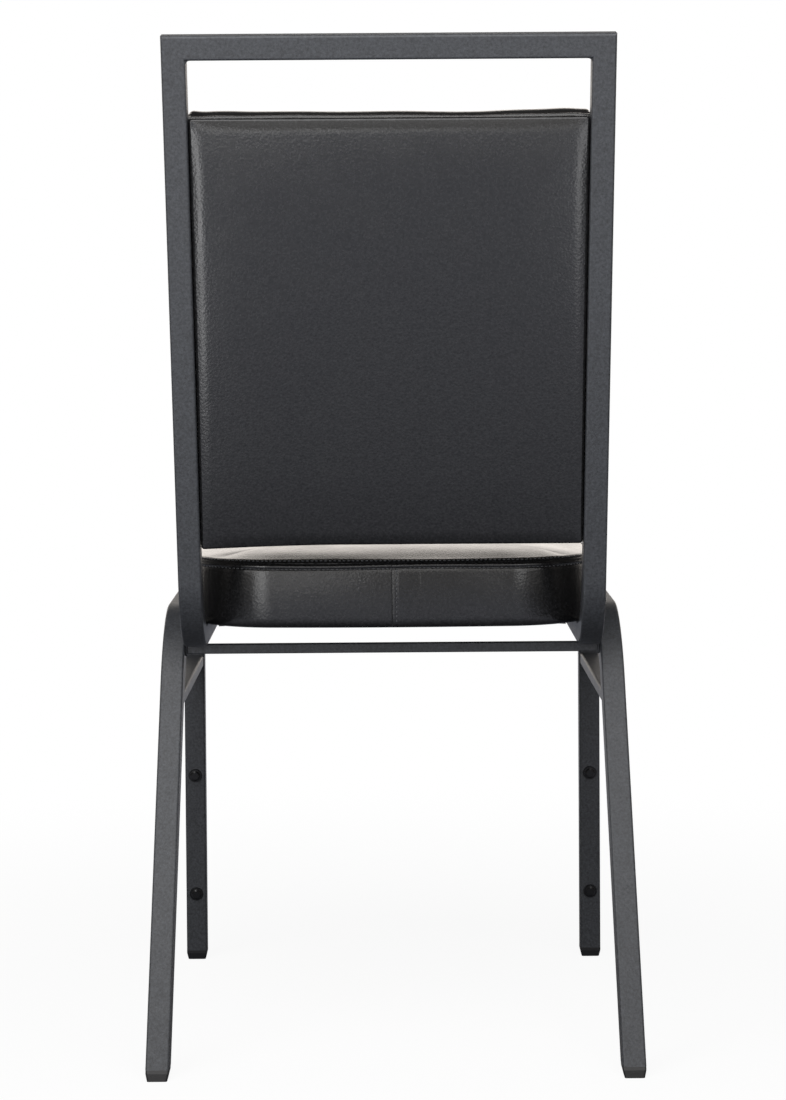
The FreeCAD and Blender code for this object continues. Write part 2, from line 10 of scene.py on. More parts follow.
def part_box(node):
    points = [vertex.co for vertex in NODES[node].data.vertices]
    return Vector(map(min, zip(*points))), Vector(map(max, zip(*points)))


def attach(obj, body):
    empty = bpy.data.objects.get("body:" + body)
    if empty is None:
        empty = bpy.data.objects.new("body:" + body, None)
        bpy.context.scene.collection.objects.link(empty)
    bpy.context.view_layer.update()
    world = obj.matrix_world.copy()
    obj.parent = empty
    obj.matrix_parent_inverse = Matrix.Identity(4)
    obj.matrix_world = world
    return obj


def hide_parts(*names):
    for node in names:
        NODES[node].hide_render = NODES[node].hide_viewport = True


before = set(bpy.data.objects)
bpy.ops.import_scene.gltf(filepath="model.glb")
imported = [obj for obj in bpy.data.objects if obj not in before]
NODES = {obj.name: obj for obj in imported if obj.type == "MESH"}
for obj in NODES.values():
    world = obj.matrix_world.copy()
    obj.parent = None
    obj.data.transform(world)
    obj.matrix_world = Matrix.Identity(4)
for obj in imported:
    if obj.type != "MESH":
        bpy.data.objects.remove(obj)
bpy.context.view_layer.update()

bl_info = {
    "name": "Banquet chair",
    "version": (1, 0, 0),
    "blender": (4, 5, 0),
    "location": "View3D > Sidebar > Chair",
    "description": "Upholstery, finishes and a white studio for a stacking banquet chair",
    "category": "Object",
}

MM = 0.001
BODY = "root"

# Grids of the cushions
GRID = 81  # points along one side of a cushion's face
RING_GATHER = 1.3  # how much the rings of a round cushion's face crowd towards its rim
CROWDING = 0.6  # how much the points of a side crowd towards its corners
EVENING = 60  # how often the foam evens the cover out

# The back leans by this angle; its own axes are sideways, up along the uprights, and forwards
BACK_RAKE = math.radians(10.74)
SIDEWAYS = np.array([1.0, 0.0, 0.0])
UP_BACK = np.array([0.0, math.sin(BACK_RAKE), math.cos(BACK_RAKE)])
FORWARD = np.array([0.0, -math.cos(BACK_RAKE), math.sin(BACK_RAKE)])
UPWARDS = np.array([0.0, 0.0, 1.0])
BACK_TAPER = 1.84 * MM  # how much narrower each side of the back is at its lower end
BACK_CORNER = 3 * MM  # radius of the corners of the back's two panels
BACK_SAG = 0.1 * MM  # how far their sides draw in

# The studio as reflections show it; elevations are in degrees and distances in metres
AMBIENT = 0.06  # strength of the dim studio round the chair
FACING = (0.2, 0.6)  # share of a direction along Y over which backdrop and room come up
BACKDROP_GLOW = 1.8  # brightness of the lit backdrop
BACKDROP_TOP = (26, 16)  # elevations between which the backdrop ends
ROOM_BOTTOM = (-16, -8)  # elevations between which the grey room behind the camera begins
ROOM_GLOW = 0.45  # brightness of that room
WARM = (1.07, 1.0, 0.93, 1)  # tint of the room's light
COOL = (0.96, 0.99, 1.12, 1)  # tint of the light off the paper sweep
SWEEP_FADE = (-0.4, 2.9)  # distances from the chair over which the paper turns white
SWEEP_FAR = (3.0, 4.0)  # distances over which it turns dim again
SWEEP_DIM = 0.45  # brightness beyond them
SWEEP_SIDE = (1.7, 1.1)  # distances to the side between which the paper ends
SHADOW_FADE = (0.3, 1.4)  # distances over which the chair's soft shadow on the paper fades out
SHADOW_WHITE = 0.93  # share of plain white that the paper keeps under the chair
WHITE = (1, 1, 1, 1)
SMOOTH = {"interpolation_type": "SMOOTHSTEP"}
TIMES = {"operation": "MULTIPLY"}
COLOUR = {"subtype": "COLOR", "size": 3, "min": 0, "max": 1}


def linear(code):
    """sRGB hex colour as linear red, green and blue."""
    srgb = np.array([int(code[i:i + 2], 16) for i in (1, 3, 5)]) / 255
    return tuple(np.where(srgb <= 0.04045, srgb / 12.92, ((srgb + 0.055) / 1.055) ** 2.4))


def per_mm(size):
    """Texture scale that gives a pattern of this size in millimetres on object coordinates."""
    return 1 / (size * MM)


# Settings that a user would change


class ChairFinish(bpy.types.PropertyGroup):
    """Colours of the chair's materials"""

    coat: FloatVectorProperty(
        name="Frame coat", description="Colour of the powder coat on the steel tube",
        **COLOUR, default=linear("#36383c"))
    vinyl: FloatVectorProperty(
        name="Vinyl", description="Colour of the upholstery vinyl",
        **COLOUR, default=linear("#161617"))
    thread: FloatVectorProperty(
        name="Thread", description="Colour of the seat's sewing thread",
        **COLOUR, default=linear("#4c4d51"))
    plastic: FloatVectorProperty(
        name="Plastic", description="Colour of the glides and rail caps",
        **COLOUR, default=linear("#18181a"))
    rubber: FloatVectorProperty(
        name="Rubber", description="Colour of the stacking bumpers",
        **COLOUR, default=linear("#121214"))


class SeatSizes(bpy.types.PropertyGroup):
    """Sizes of the seat cushion"""

    rear_corner: FloatProperty(
        name="Rear corner", description="Radius of the seat's rear corners",
        unit="LENGTH", default=92 * MM)
    front_corner: FloatProperty(
        name="Front corner", description="Radius of the seat's front corners",
        unit="LENGTH", default=60 * MM)
    stitch_below: FloatProperty(
        name="Stitch row", description="Stitch row below the top seam",
        unit="LENGTH", default=4.6 * MM)
    stitch_pitch: FloatProperty(
        name="Stitch pitch", description="From one stitch to the next",
        unit="LENGTH", default=4.4 * MM)
    pressure: FloatProperty(
        name="Pressure", description="Air pressure that fills the covers in the cloth simulation",
        default=1.5)


class StageSettings(bpy.types.PropertyGroup):
    """Camera and lamps of the studio"""

    camera_at: FloatVectorProperty(
        name="Camera", description="Place of the camera behind the chair",
        subtype="XYZ", unit="LENGTH", size=3, default=(7.86 * MM, 2829.11 * MM, 726.26 * MM))
    lens: FloatProperty(
        name="Lens", description="Focal length in millimetres on a frame 36 mm high", default=91.91)
    pitch: FloatProperty(
        name="Pitch", description="How far the camera looks down",
        subtype="ANGLE", default=0.0892)
    yaw: FloatProperty(
        name="Yaw", description="Turn of the camera about the vertical",
        subtype="ANGLE", default=-0.0033)
    roll: FloatProperty(
        name="Roll", description="Turn of the picture about the line of sight",
        subtype="ANGLE", default=-0.0070)
    key: FloatProperty(
        name="Key lamp", description="Power of the large lamp over the camera",
        unit="POWER", default=37.0)
    fill: FloatProperty(
        name="Fill lamp", description="Power of the small lamp beside the camera",
        unit="POWER", default=1.5)
    edge: FloatProperty(
        name="Edge lamps", description="Power of which the small lamps near the back take their shares",
        unit="POWER", default=4.0)
    side: FloatProperty(
        name="Side lamps", description="Power of the two tall lamps beside the chair",
        unit="POWER", default=11.0)


# Shapes worked out as whole arrays


def quads_of(table, closed):
    """Quads between neighbours in a table of vertex numbers.
    A closed table joins its last column to its first."""
    if closed:
        table = np.hstack([table, table[:, :1]])
    return np.stack([table[:-1, :-1], table[:-1, 1:], table[1:, 1:], table[1:, :-1]], -1).reshape(-1, 4)


def make_piece(name, points, faces, material):
    """Mesh object from an array of points and a list of faces, smooth-shaded."""
    mesh = bpy.data.meshes.new(name)
    mesh.from_pydata(points.reshape(-1, 3).tolist(), [], faces)
    mesh.polygons.foreach_set("use_smooth", np.ones(len(mesh.polygons), bool))
    mesh.materials.append(material)
    piece = bpy.data.objects.new(name, mesh)
    bpy.context.scene.collection.objects.link(piece)
    return piece


def outline_of(corners, radii, sag):
    """Closed outline of four corner points with round corners and drawn-in sides.

    Corners run anticlockwise from (+, +). Each corner is a quarter circle of its radius. Between two
    corners the side is a parabola that draws in by its sag. The first point is the middle of the first
    corner's round, and each of the four stretches from one corner's middle to the next has the same
    steps, crowded at its ends.
    """
    signs = np.array([(1, 1), (-1, 1), (-1, -1), (1, -1)])
    turn = np.linspace(0, math.pi / 2, 25)
    share = np.linspace(0, 1, 41)[1:-1, None]
    arcs = []
    for i in range(4):
        centre = np.array(corners[i]) - signs[i] * radii[i]
        angle = turn + i * math.pi / 2
        arcs.append(centre + radii[i] * np.stack([np.cos(angle), np.sin(angle)], 1))
    half = len(turn) // 2
    stretches = []
    for i in range(4):
        start, end = arcs[i][-1], arcs[(i + 1) % 4][0]
        inward = unit(np.array([start[1] - end[1], end[0] - start[0]]))
        side = start + share * (end - start) + 4 * share * (1 - share) * sag[i] * inward
        path = np.concatenate([arcs[i][half:], side, arcs[(i + 1) % 4][:half + 1]])
        stretches.append(at_shares(path, crowded()[:-1]))
    return np.concatenate(stretches)


def crowded():
    """Shares from 0 to 1 for the points along one side: even steps less a sine, so closer at both ends."""
    share = np.linspace(0, 1, GRID)
    return share - CROWDING * np.sin(2 * math.pi * share) / (2 * math.pi)


def at_shares(path, shares):
    """Points at these shares of a path's length."""
    length = np.concatenate([[0], np.cumsum(np.linalg.norm(np.diff(path, axis=0), axis=1))])
    return np.stack([np.interp(shares * length[-1], length, path[:, k]) for k in range(path.shape[1])], 1)


def length_of(path):
    """Length of a path: the sum of its steps."""
    return np.linalg.norm(np.diff(path, axis=0), axis=1).sum()


def across(table, column):
    """One column of a table of points, at a fractional place between two columns."""
    left = int(column)
    share = column - left
    return (1 - share) * table[:, left] + share * table[:, left + 1]


def tapered(right, top, bottom):
    """Corners of a panel of the back, anticlockwise from (+, +); it is narrower at its lower end."""
    lower = right - BACK_TAPER
    return [(right, top), (-right, top), (-lower, bottom), (lower, bottom)]


def inward_of(loop):
    """Unit normals into an anticlockwise loop: the tangent through both neighbours, turned a quarter left."""
    along = np.roll(loop, -1, 0) - np.roll(loop, 1, 0)
    return unit(np.stack([-along[:, 1], along[:, 0]], 1))


def rim_numbers():
    """Numbers of a square grid's outer points, anticlockwise from the corner (+, +)."""
    number = np.arange(GRID * GRID).reshape(GRID, GRID)
    return np.concatenate([number[-1, :0:-1], number[:0:-1, 0], number[0, :-1], number[:-1, -1]])


def shrunk(loop):
    """Square grid inside a round loop: rings of the loop shrunk to its centre, crowded towards the rim.
    Returns the points and each one's share of the way out from the centre."""
    span = np.linspace(-1, 1, GRID)
    b, a = np.meshgrid(span, span, indexing="ij")
    ring = np.maximum(abs(a), abs(b))
    safe = np.where(ring == 0, 1, ring)
    a, b = a / safe, b / safe
    level = abs(b) >= abs(a)
    place = np.where(level, np.where(b > 0, (1 - a) / 2, 2 + (1 + a) / 2),
                     np.where(a < 0, 1 + (1 - b) / 2, 3 + (1 + b) / 2)) % 4
    ring = 1 - (1 - ring) ** RING_GATHER
    at = np.arange(len(loop)) * 4 / len(loop)
    rim = np.stack([np.interp(place, at, loop[:, k], period=4) for k in range(2)], -1)
    return loop.mean(0) + ring[..., None] * (rim - loop.mean(0)), ring


def stretched(loop):
    """Square grid inside a four-sided loop: the blend from side to side plus that from end to end, less the
    blend of the four corners."""
    sides = np.vstack([loop, loop[:1]])
    n = GRID - 1
    top, left = sides[:n + 1][::-1], sides[n:2 * n + 1][::-1]
    bottom, right = sides[2 * n:3 * n + 1], sides[3 * n:]
    u, v = crowded()[None, :, None], crowded()[:, None, None]
    ends = (1 - v) * ((1 - u) * bottom[0] + u * bottom[-1]) + v * ((1 - u) * top[0] + u * top[-1])
    return (1 - v) * bottom + v * top + (1 - u) * left[:, None] + u * right[:, None] - ends


class Pillow:
    """A padded form on an outline: a face on a square grid, a side band below its rim, a closed underside.

    The band's rows run from the rim down; row r is the outline drawn in by inset[r] at height[r]. A round
    face rises by a profile over the distance from its rim, a square one by a product of two profiles, over
    the distances from its nearest sides. The underside is flat inside the last row.
    """

    def __init__(self, corners, radii, sag, inset, height, rise, square):
        loop = outline_of(corners, radii, sag)
        half = np.ptp(loop, 0) / 2
        flat = loop + np.array(inset)[:, None, None] * inward_of(loop)
        level = np.broadcast_to(np.array(height)[:, None, None], (*flat.shape[:2], 1))
        band = np.concatenate([flat, level], -1)
        if square:
            face, under = stretched(flat[0]), stretched(flat[-1])
            inside = half - inset[0] - abs(face - loop.mean(0))
            up = rise(inside[..., 0]) * rise(inside[..., 1]) / rise(half.max())
        else:
            (face, ring), (under, _) = shrunk(flat[0]), shrunk(flat[-1])
            up = rise((1 - ring) * half.min())
        face = np.dstack([face, height[0] + up]).reshape(-1, 3)
        under = np.dstack([under, np.full(up.shape, height[-1])]).reshape(-1, 3)
        rim = rim_numbers()
        inner = np.setdiff1d(np.arange(len(face)), rim)
        rows = len(inset)
        self.rows = np.vstack([rim, len(face) + np.arange((rows - 1) * len(rim)).reshape(rows - 1, -1)])
        below = np.empty(len(face), int)
        below[inner] = self.rows.max() + 1 + np.arange(len(inner))
        below[rim] = self.rows[-1]
        self.points = np.vstack([face, band[1:].reshape(-1, 3), under[inner]])
        self.faces = np.vstack([
            quads_of(np.arange(len(face)).reshape(GRID, GRID), False), quads_of(self.rows[:, ::-1], True),
            quads_of(below.reshape(GRID, GRID)[:, ::-1], False)]).tolist()


def swelling(*steps):
    """Profile of a padded face: the sum of its shoulders, each a height times 1 - (1 - distance / reach)
    squared up to its reach and level beyond."""
    def rise(distance):
        return sum(height * (1 - np.clip(1 - distance / reach, 0, 1) ** 2) for height, reach in steps)

    return rise


def placed(points, *axes):
    """Points given along three axes, carried to the chair's own frame."""
    return points @ np.array(axes)


def extent(node, *axes):
    """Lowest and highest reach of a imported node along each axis."""
    reach = points_of(NODES[node]) @ np.array(axes).T
    return reach.min(0), reach.max(0)


def inflate(piece, held, pressure, cap, frames=20):
    """Fill a closed cover with air: cloth under pressure, held where held is true, moved by no more than cap.
    The foam under the cover evens its moves out: each becomes half its own and half its neighbours' mean,
    over and over."""
    mesh = piece.data
    rest = points_of(piece)
    group = piece.vertex_groups.new(name="held")
    group.add(np.flatnonzero(held).tolist(), 1.0, "REPLACE")
    cloth = piece.modifiers.new("Cloth", "CLOTH")
    settings = cloth.settings
    settings.quality = 6
    settings.tension_stiffness = settings.compression_stiffness = 20
    settings.shear_stiffness = 10
    settings.bending_stiffness = 1.5
    settings.vertex_group_mass = group.name
    settings.use_pressure = True
    settings.uniform_pressure_force = pressure
    settings.effector_weights.gravity = 0
    cloth.point_cache.frame_end = frames
    scene = bpy.context.scene
    for step in range(1, frames + 1):
        scene.frame_set(step)
    move = points_of(piece.evaluated_get(bpy.context.evaluated_depsgraph_get())) - rest
    piece.modifiers.remove(cloth)
    piece.vertex_groups.remove(group)
    scene.frame_set(1)
    far = np.linalg.norm(move, axis=1, keepdims=True)
    move *= np.minimum(1, cap / np.maximum(far, 1e-9))
    ends = np.empty(len(mesh.edges) * 2, int)
    mesh.edges.foreach_get("vertices", ends)
    one, other = np.concatenate([ends.reshape(-1, 2), ends.reshape(-1, 2)[:, ::-1]]).T
    count = np.bincount(one)[:, None]
    for _ in range(EVENING):
        total = np.stack([np.bincount(one, move[other, k]) for k in range(3)], 1)
        move = np.where(held[:, None], move, (move + total / count) / 2)
    mesh.vertices.foreach_set("co", (rest + move).ravel())
    mesh.update()


def fill(name, points, faces, cover, held, pressure, cap):
    """Make a cushion's cover, fill it while the held points stay, and settle it."""
    piece = make_piece(name, points, faces, cover)
    inflate(piece, np.isin(np.arange(len(points)), held), pressure, cap)
    settle(piece, 1)
    return piece


def settle(piece, levels=0):
    """Turn the normals outwards, add rounding and let the piece ride on the chair."""
    sewn = bmesh.new()
    sewn.from_mesh(piece.data)
    bmesh.ops.recalc_face_normals(sewn, faces=sewn.faces)
    sewn.to_mesh(piece.data)
    sewn.free()
    if levels:
        rounding = piece.modifiers.new("Round", "SUBSURF")
        rounding.levels = rounding.render_levels = levels
    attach(piece, BODY)


def points_of(piece):
    """All vertices of a piece as an array."""
    points = np.empty(len(piece.data.vertices) * 3)
    piece.data.vertices.foreach_get("co", points)
    return points.reshape(-1, 3)


def beads(middles, along, out, length, radius, rings=7, sides=8):
    """Rounded rods, all in one mesh: each is a sausage of this length and radius about its middle.

    With a from 0 to pi along the rod and b round it, a point is the middle, plus the direction along times
    half the length times cos a, plus the radius times sin a to the power 0.4, turned by b between out and
    sideways.
    """
    side = np.cross(along, out)
    a = np.linspace(0.02, math.pi - 0.02, rings)[None, :, None, None]
    b = np.linspace(0, 2 * math.pi, sides, endpoint=False)[None, None, :, None]
    turned = np.cos(b) * out[:, None, None] + np.sin(b) * side[:, None, None]
    points = (middles[:, None, None] + along[:, None, None] * length / 2 * np.cos(a)
              + radius * np.sin(a) ** 0.4 * turned)
    one = np.arange(rings * sides).reshape(rings, sides)
    faces = quads_of(one, True)[None] + (np.arange(len(middles)) * rings * sides)[:, None, None]
    ends = np.concatenate([one[0, ::-1], one[-1]]).reshape(2, sides)
    caps = ends[None] + (np.arange(len(middles)) * rings * sides)[:, None, None]
    return points.reshape(-1, 3), faces.reshape(-1, 4).tolist() + caps.reshape(-1, sides).tolist()


def unit(vectors):
    """Vectors of length one."""
    return vectors / np.linalg.norm(vectors, axis=-1, keepdims=True)


def noise_along(count, seed, waves, size):
    """Smooth closed noise: a sum of sine waves, each wave number drawn with a random phase and share."""
    draw = np.random.default_rng(seed)
    at = np.linspace(0, 2 * math.pi, count, endpoint=False)[:, None]
    share = draw.uniform(0.4, 1, len(waves)) / np.sqrt(len(waves))
    return size * (share * np.sin(at * np.array(waves) + draw.uniform(0, 2 * math.pi, len(waves)))).sum(1)


# Materials


def add_node(tree, kind, settings=None, inputs=None):
    """Add a node with its settings; an input is a value, or a socket to link from."""
    made = tree.nodes.new(kind)
    for name, value in (settings or {}).items():
        setattr(made, name, value)
    for name, value in (inputs or {}).items():
        if isinstance(value, bpy.types.NodeSocket):
            tree.links.new(value, made.inputs[name])
        else:
            made.inputs[name].default_value = value
    return made


def new_material(name):
    """Empty node material, its tree and its object coordinates."""
    material = bpy.data.materials.new(name)
    material.use_nodes = True
    tree = material.node_tree
    tree.nodes.clear()
    place = add_node(tree, "ShaderNodeTexCoord").outputs["Object"]
    return material, tree, place


def powder_coat(finish):
    """Fine-textured polyester powder coat on steel: baked grains give a dull sparkle and a soft sheen."""
    material, tree, place = new_material("powder_coated_steel")
    # Real grains are a few tenths of a millimetre; they are drawn coarser, so that they show
    grain, flow = (
        add_node(tree, "ShaderNodeTexNoise", inputs={
            "Vector": place, "Scale": per_mm(size), "Detail": detail, "Roughness": uneven}).outputs["Fac"]
        for size, detail, uneven in ((2.4, 4.0, 0.75), (14.0, 2.0, 0.5)))
    speck = add_node(tree, "ShaderNodeMapRange", inputs={
        "Value": grain, "From Min": 0.32, "From Max": 0.68})
    dark, light = ((*(share * c for c in finish.coat), 1) for share in (0.45, 1.55))
    tint = add_node(tree, "ShaderNodeMix", {"data_type": "RGBA"}, {0: speck.outputs[0], 6: dark, 7: light})
    rough = add_node(tree, "ShaderNodeMapRange", inputs={
        "Value": flow, "To Min": 0.46, "To Max": 0.58})
    bump = add_node(tree, "ShaderNodeBump", inputs={
        "Height": grain, "Strength": 0.6, "Distance": 0.25 * MM})
    shader = add_node(tree, "ShaderNodeBsdfPrincipled", inputs={
        "Base Color": tint.outputs[2], "Roughness": rough.outputs[0], "Normal": bump.outputs[0]})
    add_node(tree, "ShaderNodeOutputMaterial", inputs={"Surface": shader.outputs[0]})
    return material


def vinyl(finish):
    """Upholstery vinyl: pressed pebble grain under a thin lacquer, so black with a satin gloss."""
    material, tree, place = new_material("black_upholstery_vinyl")
    # Real pebbles are about a millimetre wide; they are drawn twice as coarse, so that they show
    pebble = add_node(tree, "ShaderNodeTexVoronoi", {"feature": "SMOOTH_F1"}, {
        "Vector": place, "Scale": per_mm(2.2), "Smoothness": 0.4})
    crease, cloud, speck = (
        add_node(tree, "ShaderNodeTexNoise", inputs={
            "Vector": place, "Scale": per_mm(size), "Detail": detail, "Roughness": uneven}).outputs["Fac"]
        for size, detail, uneven in ((9.0, 3.0, 0.5), (38.0, 3.0, 0.5), (2.6, 4.0, 0.75)))
    worn = add_node(tree, "ShaderNodeMapRange", inputs={
        "Value": speck, "From Min": 0.35, "From Max": 0.65})
    dark, light = ((*(share * c for c in finish.vinyl), 1) for share in (0.3, 2.2))
    tint = add_node(tree, "ShaderNodeMix", {"data_type": "RGBA"}, {0: worn.outputs[0], 6: dark, 7: light})
    fine = add_node(tree, "ShaderNodeBump", inputs={
        "Height": pebble.outputs["Distance"], "Strength": 0.45, "Distance": 0.2 * MM})
    soft = add_node(tree, "ShaderNodeBump", inputs={
        "Height": crease, "Strength": 0.15, "Distance": 0.15 * MM, "Normal": fine.outputs[0]})
    rough = add_node(tree, "ShaderNodeMapRange", inputs={
        "Value": cloud, "From Min": 0.3, "From Max": 0.7, "To Min": 0.21, "To Max": 0.26})
    shader = add_node(tree, "ShaderNodeBsdfPrincipled", inputs={
        "Base Color": tint.outputs[2], "Roughness": rough.outputs[0], "Normal": soft.outputs[0]})
    add_node(tree, "ShaderNodeOutputMaterial", inputs={"Surface": shader.outputs[0]})
    return material


def moulded(name, colour, roughness, grain_mm):
    """Moulded plastic or rubber: an even dark body with a faint texture from its mould."""
    material, tree, place = new_material(name)
    grain = add_node(tree, "ShaderNodeTexNoise", inputs={
        "Vector": place, "Scale": per_mm(grain_mm), "Detail": 2.0})
    rough = add_node(tree, "ShaderNodeMapRange", inputs={
        "Value": grain.outputs["Fac"], "To Min": roughness - 0.05, "To Max": roughness + 0.05})
    bump = add_node(tree, "ShaderNodeBump", inputs={
        "Height": grain.outputs["Fac"], "Strength": 0.2, "Distance": 0.05 * MM})
    shader = add_node(tree, "ShaderNodeBsdfPrincipled", inputs={
        "Base Color": (*colour, 1), "Roughness": rough.outputs[0], "Normal": bump.outputs[0]})
    add_node(tree, "ShaderNodeOutputMaterial", inputs={"Surface": shader.outputs[0]})
    return material


def non_woven():
    """Spun-bonded dust cloth: matt black felted fibres, a little uneven."""
    material, tree, place = new_material("spun_bonded_dust_cloth")
    fibre = add_node(tree, "ShaderNodeTexNoise", inputs={
        "Vector": place, "Scale": per_mm(1.5), "Detail": 4.0, "Roughness": 0.7})
    tint = add_node(tree, "ShaderNodeMix", {"data_type": "RGBA"}, {
        0: fibre.outputs["Fac"], 6: (*linear("#0e0e0f"), 1), 7: (*linear("#2a2a2c"), 1)})
    bump = add_node(tree, "ShaderNodeBump", inputs={
        "Height": fibre.outputs["Fac"], "Strength": 0.5, "Distance": 0.15 * MM})
    shader = add_node(tree, "ShaderNodeBsdfPrincipled", inputs={
        "Base Color": tint.outputs[2], "Roughness": 0.9, "Normal": bump.outputs[0]})
    add_node(tree, "ShaderNodeOutputMaterial", inputs={"Surface": shader.outputs[0]})
    return material


def plywood():
    """Birch plywood: pale sapwood with stretched darker grain, sanded but not varnished."""
    material, tree, place = new_material("birch_plywood")
    along = add_node(tree, "ShaderNodeMapping", inputs={"Vector": place, "Scale": (0.06, 1.0, 1.0)})
    grain = add_node(tree, "ShaderNodeTexNoise", inputs={
        "Vector": along.outputs[0], "Scale": per_mm(3.0), "Detail": 5.0, "Roughness": 0.6})
    tint = add_node(tree, "ShaderNodeMix", {"data_type": "RGBA"}, {
        0: grain.outputs["Fac"], 6: (*linear("#a9825a"), 1), 7: (*linear("#d9bd94"), 1)})
    bump = add_node(tree, "ShaderNodeBump", inputs={
        "Height": grain.outputs["Fac"], "Strength": 0.3, "Distance": 0.1 * MM})
    shader = add_node(tree, "ShaderNodeBsdfPrincipled", inputs={
        "Base Color": tint.outputs[2], "Roughness": 0.7, "Normal": bump.outputs[0]})
    add_node(tree, "ShaderNodeOutputMaterial", inputs={"Surface": shader.outputs[0]})
    return material


def zinc():
    """Zinc-plated steel: bright grey metal, its shine clouded by the plating bath."""
    material, tree, place = new_material("zinc_plated_steel")
    cloud = add_node(tree, "ShaderNodeTexNoise", inputs={
        "Vector": place, "Scale": per_mm(2.5), "Detail": 3.0})
    rough = add_node(tree, "ShaderNodeMapRange", inputs={
        "Value": cloud.outputs["Fac"], "To Min": 0.25, "To Max": 0.45})
    shader = add_node(tree, "ShaderNodeBsdfPrincipled", inputs={
        "Base Color": (*linear("#b9bcc0"), 1), "Metallic": 1.0, "Roughness": rough.outputs[0]})
    add_node(tree, "ShaderNodeOutputMaterial", inputs={"Surface": shader.outputs[0]})
    return material


def coat_nodes(material, *endings):
    """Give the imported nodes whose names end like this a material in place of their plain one."""
    for name, node in NODES.items():
        if name.endswith(endings):
            node.data.materials.clear()
            node.data.materials.append(material)


# The studio


def white_world(scene):
    """White backdrop: seen as white, reflected as white where it stands low before the chair, with a grey
    room behind the camera and dim elsewhere."""
    world = bpy.data.worlds.new("studio")
    scene.world = world
    world.use_nodes = True
    world.cycles.sampling_method = "NONE"
    tree = world.node_tree
    tree.nodes.clear()
    path = add_node(tree, "ShaderNodeLightPath")
    way = add_node(tree, "ShaderNodeTexCoord").outputs["Generated"]
    parts = add_node(tree, "ShaderNodeSeparateXYZ", inputs={0: way})
    lit = []
    for side, limits, glow in ((-1, BACKDROP_TOP, BACKDROP_GLOW), (1, ROOM_BOTTOM, ROOM_GLOW)):
        start, end = (math.sin(math.radians(angle)) for angle in limits)
        facing = add_node(tree, "ShaderNodeMapRange", SMOOTH, {
            "Value": parts.outputs["Y"], "From Min": side * FACING[0], "From Max": side * FACING[1]})
        level = add_node(tree, "ShaderNodeMapRange", SMOOTH, {
            "Value": parts.outputs["Z"], "From Min": start, "From Max": end, "To Max": glow})
        lit.append(add_node(tree, "ShaderNodeMath", TIMES, {
            0: facing.outputs[0], 1: level.outputs[0]}).outputs[0])
    around = add_node(tree, "ShaderNodeMath", {"operation": "ADD"}, {0: lit[0], 1: lit[1]})
    mirrored = add_node(tree, "ShaderNodeMath", {"operation": "MULTIPLY_ADD"}, {
        0: around.outputs[0], 1: path.outputs["Is Glossy Ray"], 2: AMBIENT})
    seen = add_node(tree, "ShaderNodeMath", {"operation": "MAXIMUM"}, {
        0: path.outputs["Is Camera Ray"], 1: path.outputs["Is Transmission Ray"]})
    strength = add_node(tree, "ShaderNodeMix", {"data_type": "FLOAT"}, {
        0: seen.outputs[0], 2: mirrored.outputs[0], 3: 1.0})
    tint = add_node(tree, "ShaderNodeMix", {"data_type": "RGBA"}, {0: seen.outputs[0], 6: WARM, 7: WHITE})
    sky = add_node(tree, "ShaderNodeBackground", inputs={
        "Color": tint.outputs[2], "Strength": strength.outputs[0]})
    add_node(tree, "ShaderNodeOutputWorld", inputs={"Surface": sky.outputs[0]})


